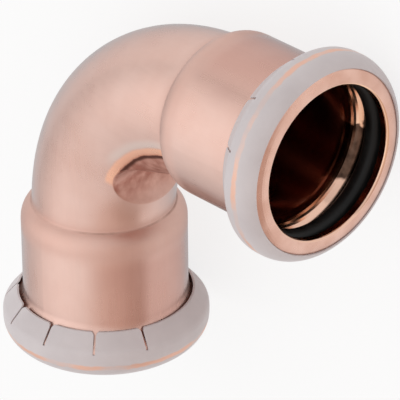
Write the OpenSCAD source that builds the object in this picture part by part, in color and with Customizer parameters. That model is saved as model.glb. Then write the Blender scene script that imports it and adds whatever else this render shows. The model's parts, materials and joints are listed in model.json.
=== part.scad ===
// Press fitting for copper pipe: a ninety degree elbow with a sealing bead at each mouth.
// It lies on its side, on both beads and the middle of the bend, as it comes to rest on a bench.

/* [Pipe] */
// Outside diameter of the pipe
pipe_od = 22; // [18:1:28]
// Radial play of the pipe in its socket
pipe_play = 0.2; // [0.1:0.05:0.35]
// Radial play of the pipe in the rolled lip
lip_play = 0.4; // [0.25:0.05:0.6]

/* [Elbow] */
// Wall thickness of the drawn tube
wall = 1.2; // [0.9:0.1:1.5]
// Length of the socket from its mouth to the shoulder
socket_length = 19.7; // [17:0.1:24]
// Radial step from the socket down to the bend
bend_step = 1.7; // [1:0.1:2]
// Radius of the centre line of the bend
bend_radius = 25.4; // [23:0.2:36]
// Radius in the crook of the bend, where the tube folds in
crook_radius = 6; // [4:0.5:9]
// Radius of the round shoulder
shoulder_radius = 3.3; // [3:0.1:6]

/* [Bead] */
// Radius inside the front corner of the groove
groove_radius = 2; // [1.7:0.05:2.3]
// Radius on the front edge of the rolled lip
lip_round = 0.45; // [0.3:0.05:0.55]
// Width of the flat on the crest
crest_flat = 0.9; // [0.6:0.1:2]
// Radius behind the crest
crest_radius = 1.5; // [1.3:0.1:2]
// Slope of the back flank, in degrees from the axis
flank_slope = 50; // [45:1:55]
// Radius at the foot of the flank
foot_radius = 2.4; // [1.6:0.1:3]

/* [Seal ring] */
// Thickness of the round rubber ring
seal_thickness = 2.9; // [2.6:0.1:3.4]
// Radial play of the pipe in the ring
seal_play = 0.05; // [0:0.05:0.15]
// Play between the ring and the groove
groove_play = 0.1; // [0.05:0.05:0.3]

/* [Press indicator] */
// Thickness of the film
film = 0.22; // [0.15:0.01:0.4]
// Gap between the film and the bead
film_gap = 0.03; // [0.02:0.01:0.06]
// Copper left bare on the front of the bead, in degrees of its arc
film_front = 30; // [20:1:50]
// Slope of the skirt, in degrees from the axis
skirt_slope = 40; // [36:1:43]
// Copper left bare between the skirt and the foot of the flank
skirt_bare = 1; // [0.5:0.1:1.4]
// Slits that a full turn of the skirt would hold
slit_count = 12; // [8:1:16]
// Slits left out, where the skirt has a smooth panel
slits_left_out = 3; // [0:1:5]
// Width of a slit
slit_width = 0.35; // [0.2:0.05:0.8]
// Radius on the corners of each tab
tab_round = 0.5; // [0.3:0.1:1.2]
// Turn of the first slit round the inlet
inlet_turn = 191; // [0:1:359]
// Turn of the first slit round the outlet
outlet_turn = 21; // [0:1:359]

/* [Hidden] */
$fn = 96;
arc_steps = 8;
overlap = 0.4;
margin = 0.15;

copper = "#d3a592";
rubber = "#1d1c1c";
film_grey = "#bdb6b6";

pipe_r = pipe_od / 2;
lip_r = pipe_r + lip_play;
socket_r = pipe_r + pipe_play + wall;
bend_r = socket_r - bend_step;

seal_r = pipe_r + seal_play + seal_thickness / 2;
crest_r = seal_r + seal_thickness / 2 + groove_play + wall;

// Centres of the four arcs of the tube's outline, as [radius, depth from the mouth].
front_radius = groove_radius + wall;
front_at = [crest_r - front_radius, front_radius];
crest_at = [crest_r - crest_radius, front_radius + crest_flat];
foot_rise = socket_r + foot_radius - crest_at.x;
foot_run = (crest_radius + foot_radius - foot_rise * cos(flank_slope)) / sin(flank_slope);
foot_at = [socket_r + foot_radius, crest_at.y + foot_run];
shoulder_at = [socket_r - shoulder_radius, socket_length];

// The ring lies between the front of the groove and its flank.
flank_room = crest_radius - wall + (crest_at.x - seal_r) * cos(flank_slope);
seal_back = crest_at.y + (flank_room - seal_thickness / 2 - groove_play) / sin(flank_slope);
seal_depth = min(seal_back, crest_at.y);

// The bend starts just before the inside of the shoulder comes down to its bore.
shoulder_in = shoulder_radius - wall;
bend_start = socket_length + sqrt(shoulder_in ^ 2 - (shoulder_in - bend_step) ^ 2) - margin;
reach = bend_start + bend_radius;
crook_at = bend_r + crook_radius;

skirt_end = foot_at.y - skirt_bare;
slit_end = crest_at.y + crest_radius * sin(skirt_slope) / 2;

// At rest both crests and the middle of the bend touch the bench.
film_out = film_gap + film;
bend_middle = bend_radius * (sqrt(2) - 1);
rest_span = (reach - crest_at.y) / sqrt(2) - bend_middle;
rest_drop = bend_r - crest_radius - film_out;
rest_a = rest_span ^ 2 + crest_at.x ^ 2 / 2;
rest_b = rest_drop * rest_span;
rest_c = rest_drop ^ 2 - crest_at.x ^ 2;
rest_sine = (sqrt(rest_b ^ 2 - rest_a * rest_c) - rest_b) / rest_a;
rest_lean = asin(rest_sine);
rest_height = bend_r - bend_middle * rest_sine;

// Half of the lean turns each mouth a little from its own axis, and the box is centred on the rest.
mouth_cos = (1 + cos(rest_lean)) / 2;
side_cos = (1 - cos(rest_lean)) / 2;
box_max = (reach - front_at.y) * mouth_cos + front_at.x * sqrt(1 - mouth_cos ^ 2) + front_radius;
box_min = (reach - front_at.y) * side_cos + front_at.x * sqrt(1 - side_cos ^ 2) + front_radius
  + film_out;
rest_middle = (box_max - box_min) / 2;

function arc(centre, radius, from, to, steps = arc_steps) =
  [for (i = [0 : steps]) centre + radius * [
    cos(from + (to - from) * i / steps),
    sin(from + (to - from) * i / steps),
  ]];

// Outline of the formed tube behind the front arc, at a depth below its outer face.
function back_of_bead(depth, end_r) =
  let (shoulder_turn = acos((end_r - shoulder_at.x) / (shoulder_radius - depth)))
  concat(
    arc(crest_at, crest_radius - depth, 0, flank_slope),
    arc(foot_at, foot_radius + depth, 180 + flank_slope, 180),
    arc(shoulder_at, shoulder_radius - depth, 0, shoulder_turn)
  );

// One face of the film, at a height above the bead.
function film_line(height) =
  let (skirt = arc(crest_at, crest_radius + height, 0, skirt_slope))
  let (last = skirt[arc_steps])
  concat(
    arc(front_at, front_radius + height, film_front - 90, 0, 2 * arc_steps),
    skirt,
    [[last.x - (skirt_end - last.y) * tan(skirt_slope), skirt_end]]
  );

function reversed(line) = [for (i = [len(line) - 1 : -1 : 0]) line[i]];

// Everything outside the tube's wall, filled to the axis.
module socket_solid() {
  lip_turn = acos((lip_r - overlap - front_at.x) / front_radius);
  front = arc(front_at, front_radius, -lip_turn, 0, 2 * arc_steps);
  back = back_of_bead(0, bend_r - overlap);
  rotate_extrude()
    polygon(concat(
      [[0, front[0].y]],
      front,
      back,
      [[0, back[len(back) - 1].y]]
    ));
}

// The space inside the socket, from in front of the lip to the bore of the bend.
module socket_space() {
  lip_at = [lip_r + lip_round, lip_round];
  groove_turn = acos((lip_r - front_at.x) / groove_radius);
  back = back_of_bead(wall, bend_r - wall - overlap);
  rotate_extrude()
    polygon(concat(
      [[0, -front_radius]],
      [lip_at + front_radius * [cos(-20), sin(-20)] + lip_round * [cos(250), sin(250)]],
      arc(lip_at, lip_round, 250, 180),
      arc(front_at, groove_radius, -groove_turn, 0, 2 * arc_steps),
      back,
      [[0, back[len(back) - 1].y]]
    ));
}

// The bent tube, at a depth below its outer face.
module bend(depth) {
  difference() {
    translate([bend_radius, bend_radius, 0])
      rotate([0, 0, 180])
        rotate_extrude(angle = 90)
          translate([bend_radius, 0])
            circle(bend_r - depth);
    translate([crook_at, crook_at, 0])
      cylinder(r = crook_radius + depth, h = 3 * bend_r, center = true);
  }
}

// A socket's own frame has its mouth at zero, its depth along Z and X towards the upper side.
module at_inlet() {
  translate([reach, 0, 0])
    rotate([0, -90, 0])
      children();
}

module at_outlet() {
  translate([0, reach, 0])
    rotate([90, 0, 0])
      rotate([0, 0, 90])
        children();
}

module at_rest() {
  translate([-rest_middle, -rest_middle, rest_height])
    rotate(a = rest_lean, v = [1, -1, 0])
      children();
}

module seal_ring() {
  rotate_extrude()
    translate([seal_r, seal_depth])
      circle(seal_thickness / 2);
}

// A cut through the skirt, open at its edge, where the tabs have round corners.
module slit() {
  half = slit_width / 2;
  mouth = half + tab_round;
  side = concat(
    [[half, slit_end]],
    arc([mouth, skirt_end - tab_round], tab_round, 180, 100),
    [[mouth, skirt_end + film]]
  );
  rotate([90, 0, 90])
    linear_extrude(crest_r + foot_radius)
      polygon(concat(side, reversed([for (p = side) [-p.x, p.y]])));
}

module press_indicator(turn) {
  pitch = 360 / slit_count;
  difference() {
    rotate_extrude()
      polygon(concat(film_line(film_gap), reversed(film_line(film_out))));
    for (i = [0 : slit_count - slits_left_out - 1])
      rotate([0, 0, turn + i * pitch])
        slit();
  }
}

module elbow_body() {
  color(copper)
    at_rest()
      difference() {
        union() {
          bend(0);
          at_inlet() socket_solid();
          at_outlet() socket_solid();
        }
        bend(wall);
        at_inlet() socket_space();
        at_outlet() socket_space();
      }
}

module inlet_seal_ring() {
  color(rubber)
    at_rest()
      at_inlet()
        seal_ring();
}

module outlet_seal_ring() {
  color(rubber)
    at_rest()
      at_outlet()
        seal_ring();
}

module inlet_press_indicator() {
  color(film_grey)
    at_rest()
      at_inlet()
        press_indicator(inlet_turn);
}

module outlet_press_indicator() {
  color(film_grey)
    at_rest()
      at_outlet()
        press_indicator(outlet_turn);
}

elbow_body();
inlet_seal_ring();
outlet_seal_ring();
inlet_press_indicator();
outlet_press_indicator();
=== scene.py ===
"""Looks for a copper press fitting elbow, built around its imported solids.

The part lies on a bench. The camera looks down on it so that the inlet hangs down in the picture
and the outlet opens towards the right, as in the photograph. Lengths are in metres.
"""

import json
import math
from types import SimpleNamespace

import bpy
from mathutils import Matrix, Vector

# Camera, in the elbow's own frame: across is the outlet's way out and up is away from the inlet's.
VIEW_TURN = math.radians(46.96)
VIEW_RISE = math.radians(29.56)
VIEW_ROLL = math.radians(-0.56)
VIEW_DISTANCE = 0.5756
VIEW_LENS = 359.6
VIEW_SENSOR = 36
VIEW_NEAREST = 0.01
VIEW_LEFT = 0.00189
VIEW_UP = 0.00711

# The elbow's own frame has X out of the inlet, Y out of the outlet and zero where the axes meet.
SOCKET_REACH = 0.04701
BEND_RADIUS = 0.0254
CROOK_AT = (0.0167, 0.0167)
CROOK_RADIUS = 0.006
FOLD_AT = (0.0231, 0.0287)
FOLD_RADIUS = 0.0194
DARK_SPOT_AT = (0.0202, 0.0107, 0.0042)

# A pair is a soft edge: its mask is 0 at the first value and 1 at the second.
# Depths from a mouth.
LIP_DEPTH = (0.0016, 0.0008)
FLANK_DEPTH = (0.0035, 0.0045)
BORE_DEPTH = (0.0082, 0.0095)
EASED_DEPTH = (0.0088, 0.0096)
SIDE_SHADE_DEPTH = (0.0205, 0.0165)
SHOULDER_DEPTHS = (0.0175, 0.0195), (0.0245, 0.0225)
CREASE_DEPTHS = (0.02235, 0.0225), (0.02275, 0.0226)
STRIPE_DEPTHS = (0.0025, 0.0028), (0.0036, 0.0033)

# The inlet's stripe is this much nearer to its mouth.
INLET_STRIPE_SHIFT = 0.0008

# Distances along the flank of a groove, from the axis of its socket towards the other socket, where
# painted reflections lie: orange on one side and a dark band on the other.
FLANK_SPAN = (0.0007, 0.0083)
FLANK_REFLECTION_SIDES = (0.0005, 0.0009), (0.0088, 0.0078)

# Distances outside the fold's line, and outside the round of the crook, for the painted shade,
# shadow line, highlight and reflection at the fold.
RIDGE_HIGHLIGHT_SPAN = (0.001, 0.0015), (0.003, 0.0018)
ORANGE_REFLECTION_EDGE = (0.0014, 0.0009)
SHADOW_LINE_SPAN = (-0.0008, -0.0003), (0.0001, -0.0002)
FOLD_SHADE_FLOOR = (0.0001, -0.0001)
FOLD_DROP = (0.0002, -0.0008)
HOLLOW_RIM = (0.0003, 0.0001)

# Where the fold starts and the painted shade on its floor fades, in X minus Y, and where it ends,
# in Y.
FOLD_START = (0.0052, 0.0034)
RIDGE_HIGHLIGHT_START = (0.001, -0.006)
FOLD_SHADE_FADE = (0.0054, 0.0095)
FOLD_END = (0.0252, 0.024)

# Other edges: how far a face turns to the side of a socket that gets painted shade, and the size of
# the darker brown spot below the crook.
SIDE_SHADE_FACING = (0.6, 1.0)
DARK_SPOT_REACH = (0.005, 0.0012)

# How far noise moves an edge to either side.
SIDE_SHADE_WANDER = 0.1
FLANK_REFLECTION_WANDER = 0.0006
FOLD_WANDER = 0.00015
STRIPE_WANDER = 0.00012

# The span that most noise stays in, and the scale that draws streaks out along the tube.
NOISE_SPAN = (0.3, 0.7)
STREAK_SQUEEZE = 0.07

# A face is inside where its offset from the tube's centre line, along its normal, is below this.
INSIDE_LIMIT = -0.003

# Relief in the normals.
EASED_RADIUS = 0.0008
EASED_SAMPLES = 8
FOLD_HEIGHT = 0.00028
GRAIN_HEIGHT = 0.0001
SKIN_HEIGHT = 0.0001
FILM_HEIGHT = 0.0002

# Strengths of masks. Patches give a span of noise, and the strengths at its two ends.
DARK_SPOT_STRENGTH = 0.55
SHADOW_LINE_IN_HOLLOW = 0.15
CREASE_SHADE_PATCHES = (0.4, 0.6, 0.1, 0.7)
STRIPE_PATCHES = (0.38, 0.58, 0.25, 1)
STRIPE_METAL = 0.8

# Roughness, as the span that noise moves in. The inside has the groove's and then the bore's.
COPPER_SATIN = (0.24, 0.3)
STREAK_SATIN = (0, 0.06)
DULL_SATIN = 0.22
INSIDE_GLOSS = (0.14, 0.2)
RUBBER_SATIN = (0.34, 0.5)
RUBBER_SPECULAR = 0.22
FILM_SATIN = (0.36, 0.48)
FLOOR_ROUGHNESS = 0.9
FLOOR_SPECULAR = 0.1

# Colours.
COPPER_DARK = (0.74, 0.475, 0.4)
COPPER_PALE = (0.81, 0.56, 0.485)
STREAK_SHADE = 0.95
# Painted shade: a darker tint on the faces turned to one side of each socket.
SIDE_SHADE_TINT = (0.84, 0.75, 0.735)
GRAZING_TINT = (0.62, 0.74, 0.8)
LIP_DARK = (0.72, 0.425, 0.33)
LIP_PALE = (0.84, 0.54, 0.44)
# Painted reflections on the groove's flank: orange on one side, a dark band on the other.
FLANK_REFLECTION_ORANGE = (0.95, 0.6, 0.42)
FLANK_COPPER = (0.8, 0.51, 0.39)
FLANK_REFLECTION_DARK = (0.05, 0.028, 0.02)
FLANK_REFLECTION_PALE = (0.2, 0.115, 0.08)
# Painted shade deep in the tube.
BORE_SHADE_BROWN = (0.36, 0.15, 0.1)
# A darker brown spot below the crook.
DARK_SPOT_BROWN = (0.58, 0.34, 0.27)
# Painted shade in the creases at the shoulders.
CREASE_SHADE_BROWN = (0.34, 0.18, 0.135)
# The fold: painted shade on its floor, a painted shadow line, a painted highlight on its ridge and
# a painted orange reflection on its edge.
FOLD_SHADE_DARK = (0.5, 0.22, 0.165)
FOLD_SHADE_PALE = (0.72, 0.41, 0.33)
FOLD_SHADOW_LINE = (0.16, 0.06, 0.04)
FOLD_RIDGE_HIGHLIGHT = (0.8, 0.61, 0.54)
FOLD_REFLECTION_ORANGE = (1, 0.55, 0.38)
RUBBER_DARK = 0.006
RUBBER_PALE = 0.013
FILM_DARK = (0.57, 0.518, 0.524)
FILM_PALE = (0.64, 0.588, 0.594)
FILM_COPPER = (0.82, 0.51, 0.4)

# The floor is grey to the light it scatters, and mostly plain white to the camera and reflections.
FLOOR_SIZE = 6
FLOOR_GREY = 0.88
FLOOR_WHITE_SHARE = 0.8

# Sky brightness by height, a soft key light, and a dim warm side of the room.
SKY = ((0.0, 0.74), (0.3, 0.82), (0.6, 0.95), (1.0, 1.0))
KEY_WAY = Vector((-0.35, -0.5, 0.79)).normalized()
KEY_EDGE = (0.55, 0.97)
KEY_GAIN = 0.25
DIM_WAY = Vector((0.3, 0.8, 0.3)).normalized()
DIM_EDGE = (0.45, 0.9)
DIM_TINT = (0.8, 0.67, 0.61)
WHITE = (1, 1, 1)


def elbow_frame(record):
    """Where the socket axes meet, and the ways out of the inlet, the outlet and the upper side."""
    mounts = {m["name"]: m for m in record["mounts"]}
    inlet_at = Vector(mounts["inlet_socket"]["pos_m"])
    outlet_at = Vector(mounts["outlet_socket"]["pos_m"])
    inlet = Vector(mounts["inlet_socket"]["axis"]).normalized()
    outlet = Vector(mounts["outlet_socket"]["axis"]).normalized()
    corner = inlet_at - inlet * (inlet_at - outlet_at).dot(inlet)
    return corner, inlet, outlet, inlet.cross(outlet)


def add_camera(corner, inlet, outlet, upper):
    across, away, up = outlet, -upper, -inlet
    back = (
        across * math.sin(VIEW_TURN) * math.cos(VIEW_RISE)
        - away * math.cos(VIEW_TURN) * math.cos(VIEW_RISE)
        + up * math.sin(VIEW_RISE)
    )
    level = across * math.cos(VIEW_TURN) + away * math.sin(VIEW_TURN)
    right = level * math.cos(VIEW_ROLL) + back.cross(level) * math.sin(VIEW_ROLL)
    top = back.cross(right)
    middle = corner + (across - up) * SOCKET_REACH / 2
    place = middle + back * VIEW_DISTANCE - right * VIEW_LEFT + top * VIEW_UP

    data = bpy.data.cameras.new("camera")
    data.sensor_width = VIEW_SENSOR
    data.lens = VIEW_LENS
    data.clip_start = VIEW_NEAREST
    camera = bpy.data.objects.new("camera", data)
    turned = Matrix((right, top, back)).transposed().to_4x4()
    camera.matrix_world = Matrix.Translation(place) @ turned
    bpy.context.collection.objects.link(camera)
    bpy.context.scene.camera = camera


def opaque(color):
    """Four channels, from three or from a grey level."""
    return (*color, 1) if isinstance(color, tuple) else (color, color, color, 1)


class Tree:
    """Short names for the nodes of one material or world."""

    def __init__(self, owner):
        owner.use_nodes = True
        self.nodes, self.links = owner.node_tree.nodes, owner.node_tree.links
        self.coordinates = self.nodes.new("ShaderNodeTexCoord").outputs

    def put(self, socket, value):
        if isinstance(value, bpy.types.NodeSocket):
            self.links.new(value, socket)
        else:
            socket.default_value = value

    def math(self, operation, *values):
        node = self.nodes.new("ShaderNodeMath")
        node.operation = operation
        for socket, value in zip(node.inputs, values):
            self.put(socket, value)
        return node.outputs[0]

    def times(self, first, *others):
        for other in others:
            first = self.math("MULTIPLY", first, other)
        return first

    def vector(self, operation, *values):
        node = self.nodes.new("ShaderNodeVectorMath")
        node.operation = operation
        for socket, value in zip(node.inputs, values):
            self.put(socket, value)
        return node.outputs["Value" if operation in ("DOT_PRODUCT", "LENGTH") else "Vector"]

    def split(self, vector):
        node = self.nodes.new("ShaderNodeSeparateXYZ")
        self.put(node.inputs[0], vector)
        return node.outputs

    def join(self, x, y, z):
        node = self.nodes.new("ShaderNodeCombineXYZ")
        for socket, value in zip(node.inputs, (x, y, z)):
            self.put(socket, value)
        return node.outputs[0]

    def outside(self, x, y, centre, radius):
        """Distance outside a cylinder along Z."""
        off_x, off_y = (self.math("SUBTRACT", value, c) for value, c in zip((x, y), centre))
        return self.math("SUBTRACT", self.vector("LENGTH", self.join(off_x, off_y, 0)), radius)

    def noise(self, vector, scale, detail, roughness=0.5):
        node = self.nodes.new("ShaderNodeTexNoise")
        self.put(node.inputs["Vector"], vector)
        node.inputs["Scale"].default_value = scale
        node.inputs["Detail"].default_value = detail
        node.inputs["Roughness"].default_value = roughness
        return node.outputs["Fac"]

    def ramp(self, factor, *stops):
        node = self.nodes.new("ShaderNodeValToRGB")
        while len(node.color_ramp.elements) < len(stops):
            node.color_ramp.elements.new(1)
        for element, (position, color) in zip(node.color_ramp.elements, stops):
            element.position = position
            element.color = opaque(color)
        self.put(node.inputs[0], factor)
        return node.outputs["Color"]

    def range(self, value, low, high, to_low=0.0, to_high=1.0):
        node = self.nodes.new("ShaderNodeMapRange")
        node.interpolation_type = "SMOOTHSTEP"
        for socket, part in zip(node.inputs, (value, low, high, to_low, to_high)):
            self.put(socket, part)
        return node.outputs[0]

    def spread(self, noise, to_low, to_high):
        """The usual span of noise, brought to another span."""
        return self.range(noise, *NOISE_SPAN, to_low, to_high)

    def band(self, value, rise, fall):
        """A mask between two soft edges."""
        return self.times(self.range(value, *rise), self.range(value, *fall))

    def mix(self, kind, factor, a, b, how="MIX"):
        node = self.nodes.new("ShaderNodeMix")
        node.data_type = kind
        node.blend_type = how
        sockets = [s for s in node.inputs if s.enabled]
        for socket, value in zip(sockets, (factor, a, b)):
            self.put(socket, value)
        return next(s for s in node.outputs if s.enabled)

    def blend(self, factor, a, b, how="MIX"):
        """Two colours mixed, each a socket or three channels."""
        a, b = (opaque(c) if isinstance(c, tuple) else c for c in (a, b))
        return self.mix("RGBA", factor, a, b, how)

    def bump(self, height, strength, distance, normal=None):
        node = self.nodes.new("ShaderNodeBump")
        node.inputs["Strength"].default_value = strength
        node.inputs["Distance"].default_value = distance
        self.put(node.inputs["Height"], height)
        if normal is not None:
            self.put(node.inputs["Normal"], normal)
        return node.outputs[0]

    def own(self, vector, corner, turn):
        """A row vector in the elbow's own frame."""
        node = self.nodes.new("ShaderNodeMapping")
        node.vector_type = "TEXTURE"
        node.inputs["Location"].default_value = corner
        node.inputs["Rotation"].default_value = turn
        self.put(node.inputs["Vector"], vector)
        return node.outputs[0]


def new_material(name):
    material = bpy.data.materials.new(name)
    tree = Tree(material)
    return material, tree, tree.nodes["Principled BSDF"].inputs


def socket_depth(tree, x, y):
    """Depth from the mouth of the nearer socket."""
    return tree.math("SUBTRACT", SOCKET_REACH, tree.math("MAXIMUM", x, y))


def copper_places(tree, corner, turn):
    """What the copper's masks are made from, in the elbow's own frame."""
    place = tree.own(tree.coordinates["Object"], corner, turn)
    x, y, _ = tree.split(place)
    inlet_side = tree.math("GREATER_THAN", x, y)
    # Across is one in the two directions that are not along the nearer socket's axis.
    across = tree.join(tree.math("SUBTRACT", 1, inlet_side), inlet_side, 1)
    drawn = tree.vector("MULTIPLY_ADD", across, (1 - STREAK_SQUEEZE,) * 3, (STREAK_SQUEEZE,) * 3)
    drawn = tree.vector("MULTIPLY", place, drawn)
    return SimpleNamespace(
        place=place,
        facing=tree.own(tree.coordinates["Normal"], (0, 0, 0), turn),
        x=x,
        y=y,
        inlet_side=inlet_side,
        across=across,
        depth=socket_depth(tree, x, y),
        streak=tree.noise(drawn, scale=1400, detail=5, roughness=0.6),
        stain=tree.noise(place, scale=110, detail=6, roughness=0.55),
    )


def copper_inside(tree, at):
    """One on faces that look towards the centre line of the tube."""
    bend_centre = (BEND_RADIUS, BEND_RADIUS, 0)
    bent = tree.math("LESS_THAN", tree.math("MAXIMUM", at.x, at.y), BEND_RADIUS)
    way = tree.vector("NORMALIZE", tree.vector("SUBTRACT", tree.join(at.x, at.y, 0), bend_centre))
    bend_line = tree.vector("MULTIPLY_ADD", way, (BEND_RADIUS,) * 3, bend_centre)
    from_axis = tree.vector("MULTIPLY", at.place, at.across)
    from_bend_line = tree.vector("SUBTRACT", at.place, bend_line)
    radial = tree.mix("VECTOR", bent, from_axis, from_bend_line)
    return tree.math("LESS_THAN", tree.vector("DOT_PRODUCT", radial, at.facing), INSIDE_LIMIT)


def outer_tint(tree, at):
    """Drawn copper, with painted shade on one side of each socket near its mouth, bright lips, a
    darker brown spot below the crook and painted shade along the creases.
    """
    tint = tree.ramp(at.stain, (0.3, COPPER_DARK), (0.7, COPPER_PALE))
    shade = tree.ramp(at.streak, (0.25, STREAK_SHADE), (0.75, 1.0))
    tint = tree.blend(1.0, tint, shade, "MULTIPLY")

    # Painted shade: faces turned to one side of each socket, near its mouth, are tinted darker.
    facing_x, facing_y, _ = tree.split(at.facing)
    side = tree.mix("FLOAT", at.inlet_side, tree.math("MULTIPLY", facing_x, -1), facing_y)
    side = tree.math("ADD", side, tree.spread(at.stain, -SIDE_SHADE_WANDER, SIDE_SHADE_WANDER))
    side_shade = tree.times(tree.range(side, *SIDE_SHADE_FACING), tree.range(at.depth, *SIDE_SHADE_DEPTH))
    tint = tree.blend(side_shade, tint, SIDE_SHADE_TINT, "MULTIPLY")

    lip = tree.ramp(tree.noise(at.place, scale=260, detail=4), (0.35, LIP_DARK), (0.65, LIP_PALE))
    tint = tree.blend(tree.range(at.depth, *LIP_DEPTH), tint, lip)

    # A darker brown spot below the crook, blended in softly.
    off_spot = tree.vector("LENGTH", tree.vector("SUBTRACT", at.place, DARK_SPOT_AT))
    spot = tree.range(off_spot, *DARK_SPOT_REACH, 0, DARK_SPOT_STRENGTH)
    tint = tree.blend(spot, tint, DARK_SPOT_BROWN)

    # Painted shade: a patchy brown line along the crease at each shoulder.
    patchy_crease_shade = tree.range(at.stain, *CREASE_SHADE_PATCHES)
    return tree.blend(tree.times(tree.band(at.depth, *CREASE_DEPTHS), patchy_crease_shade), tint, CREASE_SHADE_BROWN)


def bore_tint(tree, at, deep):
    """Darker brown deep in the tube as painted shade, and before it a groove whose flank has
    painted reflections: orange on one side and a dark band on the other.
    """
    patch = tree.noise(at.place, scale=420, detail=3)
    wander = tree.spread(patch, -FLANK_REFLECTION_WANDER, FLANK_REFLECTION_WANDER)
    along = tree.math("ADD", tree.math("MINIMUM", at.x, at.y), wander)
    # Painted reflection: the flank is brighter orange on the side away from the other socket.
    flank = tree.ramp(tree.range(along, *FLANK_SPAN), (0, FLANK_REFLECTION_ORANGE), (1, FLANK_COPPER))
    # Painted reflection: a dark band across the flank, on the side towards the other socket.
    stained = tree.times(tree.band(along, *FLANK_REFLECTION_SIDES), tree.range(at.depth, *FLANK_DEPTH))
    flank = tree.blend(stained, flank, tree.ramp(patch, (0.4, FLANK_REFLECTION_DARK), (0.7, FLANK_REFLECTION_PALE)))
    # Painted shade: deep in the tube the copper turns a darker brown.
    return tree.blend(deep, flank, BORE_SHADE_BROWN)


def fold_masks(tree, at):
    """Masks of the fold in the bend, which runs on a slant above the crook: painted shade on its
    floor, a painted shadow line, a painted highlight on its ridge and a painted reflection on its
    edge.
    """
    off_line = tree.outside(at.x, at.y, FOLD_AT, FOLD_RADIUS)
    off_line = tree.math("ADD", off_line, tree.spread(at.stain, -FOLD_WANDER, FOLD_WANDER))
    hollow = tree.range(tree.outside(at.x, at.y, CROOK_AT, CROOK_RADIUS), *HOLLOW_RIM)
    turned = tree.math("SUBTRACT", at.x, at.y)
    folded = tree.times(tree.range(turned, *FOLD_START), tree.range(at.y, *FOLD_END))
    below = tree.times(folded, tree.range(off_line, *FOLD_SHADE_FLOOR))
    shadow_line_strength = tree.range(hollow, 0, 1, 1, SHADOW_LINE_IN_HOLLOW)
    return SimpleNamespace(
        # The floor mask carries painted shade into the tint, and duller satin into the roughness.
        floor=tree.math("MAXIMUM", below, hollow),
        # Painted shadow: a dark line just inside the fold's line, fainter in the hollow.
        line=tree.times(tree.band(off_line, *SHADOW_LINE_SPAN), shadow_line_strength),
        fade=tree.range(turned, *FOLD_SHADE_FADE),
        # Painted highlight: a pale band along the ridge outside the fold's line.
        pale=tree.times(folded, tree.band(off_line, *RIDGE_HIGHLIGHT_SPAN), tree.range(turned, *RIDGE_HIGHLIGHT_START)),
        # Painted reflection: an orange band along the fold's line.
        edge=tree.times(folded, tree.range(off_line, *ORANGE_REFLECTION_EDGE)),
        drop=tree.times(folded, tree.range(off_line, *FOLD_DROP)),
    )


def fold_tint(tree, at, fold, tint):
    """A painted highlight on the ridge, a painted orange reflection on the edge, a painted shadow
    line and painted shade on the floor, which fades towards the inlet.
    """
    wrinkle = tree.noise(at.place, scale=480, detail=3)
    # Painted shade: the fold's floor and the hollow are tinted brown, fading towards the inlet.
    floor = tree.ramp(wrinkle, (0.36, FOLD_SHADE_DARK), (0.64, FOLD_SHADE_PALE))
    # Painted shadow: a dark line under the fold's edge.
    floor = tree.blend(fold.line, floor, FOLD_SHADOW_LINE)
    floor = tree.blend(fold.fade, floor, tint)
    # Painted highlight on the ridge above the fold.
    tint = tree.blend(fold.pale, tint, FOLD_RIDGE_HIGHLIGHT)
    # Painted reflection: an orange band at the fold's edge.
    tint = tree.blend(fold.edge, tint, FOLD_REFLECTION_ORANGE)
    return tree.blend(fold.floor, tint, floor)


def copper_roughness(tree, at, fold, inside, deep):
    """Satin outside, more so on the shoulders and in the fold, and polished inside."""
    stained, streaked = tree.spread(at.stain, *COPPER_SATIN), tree.spread(at.streak, *STREAK_SATIN)
    dull = tree.math("MAXIMUM", tree.band(at.depth, *SHOULDER_DEPTHS), fold.floor)
    satin = tree.math("MULTIPLY_ADD", dull, DULL_SATIN, tree.math("ADD", stained, streaked))
    return tree.mix("FLOAT", inside, satin, tree.range(deep, 0, 1, *INSIDE_GLOSS))


def copper_normal(tree, at, fold, inside):
    """Normals eased over the joins between faces behind the bead, with the fold and the grain."""
    eased = tree.nodes.new("ShaderNodeBevel")
    eased.samples = EASED_SAMPLES
    eased.inputs["Radius"].default_value = EASED_RADIUS
    plain = tree.nodes.new("ShaderNodeNewGeometry").outputs["Normal"]
    normal = tree.mix("VECTOR", tree.range(at.depth, *EASED_DEPTH), plain, eased.outputs[0])
    height = tree.math("SUBTRACT", 1, fold.drop)
    normal = tree.bump(height, strength=1, distance=FOLD_HEIGHT, normal=normal)
    grain = tree.mix("FLOAT", 0.5, at.streak, tree.noise(at.place, scale=3500, detail=3))
    grain = tree.mix("FLOAT", inside, grain, 0.5)
    return tree.bump(grain, strength=0.05, distance=GRAIN_HEIGHT, normal=normal)


def copper_material(corner, turn):
    material, tree, shader = new_material("drawn_copper")
    at = copper_places(tree, corner, turn)
    inside = copper_inside(tree, at)
    deep = tree.range(at.depth, *BORE_DEPTH)
    fold = fold_masks(tree, at)
    tint = fold_tint(tree, at, fold, outer_tint(tree, at))
    tree.put(shader["Base Color"], tree.blend(inside, tint, bore_tint(tree, at, deep)))
    tree.put(shader["Roughness"], copper_roughness(tree, at, fold, inside, deep))
    tree.put(shader["Normal"], copper_normal(tree, at, fold, inside))
    shader["Metallic"].default_value = 1
    shader["Specular Tint"].default_value = opaque(GRAZING_TINT)
    return material


def rubber_material():
    material, tree, shader = new_material("seal_rubber")
    place = tree.coordinates["Object"]
    bloom = tree.noise(place, scale=300, detail=4)
    skin = tree.noise(place, scale=4000, detail=2)
    tree.put(shader["Base Color"], tree.ramp(bloom, (0.35, RUBBER_DARK), (0.7, RUBBER_PALE)))
    tree.put(shader["Roughness"], tree.spread(bloom, *RUBBER_SATIN))
    tree.put(shader["Normal"], tree.bump(skin, strength=0.05, distance=SKIN_HEIGHT))
    shader["Specular IOR Level"].default_value = RUBBER_SPECULAR
    return material


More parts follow.
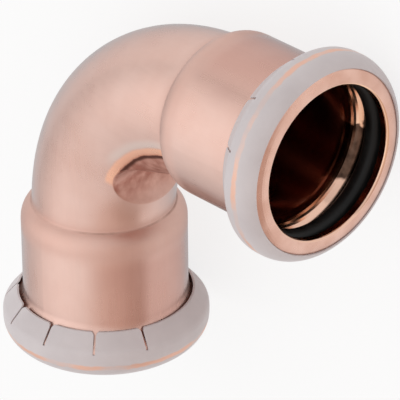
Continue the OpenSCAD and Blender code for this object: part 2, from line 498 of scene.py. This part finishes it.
def film_material(corner, turn):
    """Grey film with a clear stripe, where copper shows through in patches."""
    material, tree, shader = new_material("indicator_film")
    place = tree.own(tree.coordinates["Object"], corner, turn)
    x, y, _ = tree.split(place)
    wander = tree.spread(tree.noise(place, scale=500, detail=3), -STRIPE_WANDER, STRIPE_WANDER)
    depth = tree.math("ADD", socket_depth(tree, x, y), wander)
    inlet_side = tree.math("GREATER_THAN", x, y)
    depth = tree.math("MULTIPLY_ADD", inlet_side, INLET_STRIPE_SHIFT, depth)
    cloud = tree.noise(place, scale=160, detail=5)
    clear = tree.times(tree.band(depth, *STRIPE_DEPTHS), tree.range(cloud, *STRIPE_PATCHES))
    grey = tree.ramp(cloud, (0.3, FILM_DARK), (0.7, FILM_PALE))
    skin = tree.noise(place, scale=900, detail=3)
    tree.put(shader["Base Color"], tree.blend(clear, grey, FILM_COPPER))
    tree.put(shader["Metallic"], tree.times(clear, STRIPE_METAL))
    tree.put(shader["Roughness"], tree.spread(cloud, *FILM_SATIN))
    tree.put(shader["Normal"], tree.bump(skin, strength=0.08, distance=FILM_HEIGHT))
    return material


def add_floor():
    """A white floor, which keeps the part's shadow."""
    bpy.ops.mesh.primitive_plane_add(size=FLOOR_SIZE)
    floor = bpy.context.object
    floor.name = "floor"
    material, tree, shader = new_material("floor")
    shader["Base Color"].default_value = opaque(FLOOR_GREY)
    shader["Roughness"].default_value = FLOOR_ROUGHNESS
    shader["Specular IOR Level"].default_value = FLOOR_SPECULAR
    seen = tree.nodes.new("ShaderNodeLightPath").outputs
    plain = tree.math("MAXIMUM", seen["Is Camera Ray"], seen["Is Glossy Ray"])
    plain = tree.math("MAXIMUM", plain, seen["Is Transmission Ray"])
    white = tree.nodes.new("ShaderNodeEmission")
    mixed = tree.nodes.new("ShaderNodeMixShader")
    tree.put(mixed.inputs[0], tree.times(plain, FLOOR_WHITE_SHARE))
    tree.put(mixed.inputs[1], tree.nodes["Principled BSDF"].outputs[0])
    tree.put(mixed.inputs[2], white.outputs[0])
    tree.put(tree.nodes["Material Output"].inputs["Surface"], mixed.outputs[0])
    floor.data.materials.append(material)


def add_world():
    world = bpy.data.worlds.new("studio")
    bpy.context.scene.world = world
    tree = Tree(world)
    way = tree.coordinates["Generated"]
    sky = tree.ramp(tree.split(way)["Z"], *SKY)
    key = tree.range(tree.vector("DOT_PRODUCT", way, KEY_WAY), *KEY_EDGE, 0, KEY_GAIN)
    dim = tree.range(tree.vector("DOT_PRODUCT", way, DIM_WAY), *DIM_EDGE)
    dim = tree.blend(dim, WHITE, DIM_TINT)
    light = tree.blend(1.0, tree.math("ADD", sky, key), dim, "MULTIPLY")
    tree.put(tree.nodes["Background"].inputs["Color"], light)


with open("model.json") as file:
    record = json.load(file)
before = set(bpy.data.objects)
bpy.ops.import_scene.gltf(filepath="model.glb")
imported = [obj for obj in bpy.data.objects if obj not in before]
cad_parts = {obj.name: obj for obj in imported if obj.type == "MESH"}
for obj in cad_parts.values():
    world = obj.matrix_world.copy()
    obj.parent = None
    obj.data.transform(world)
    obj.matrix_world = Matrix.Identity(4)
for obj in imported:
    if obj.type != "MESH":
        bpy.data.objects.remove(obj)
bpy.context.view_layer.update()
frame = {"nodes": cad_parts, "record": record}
corner, inlet, outlet, upper = elbow_frame(frame["record"])
turn = Matrix((inlet, outlet, upper)).transposed().to_euler()

copper, rubber, film = copper_material(corner, turn), rubber_material(), film_material(corner, turn)
materials = {
    "elbow_body": copper,
    "inlet_seal_ring": rubber,
    "outlet_seal_ring": rubber,
    "inlet_press_indicator": film,
    "outlet_press_indicator": film,
}
for name, node in frame["nodes"].items():
    node.data.materials.clear()
    node.data.materials.append(materials[name])

add_camera(corner, inlet, outlet, upper)
add_floor()
add_world()
bpy.context.scene.view_settings.view_transform = "Standard"
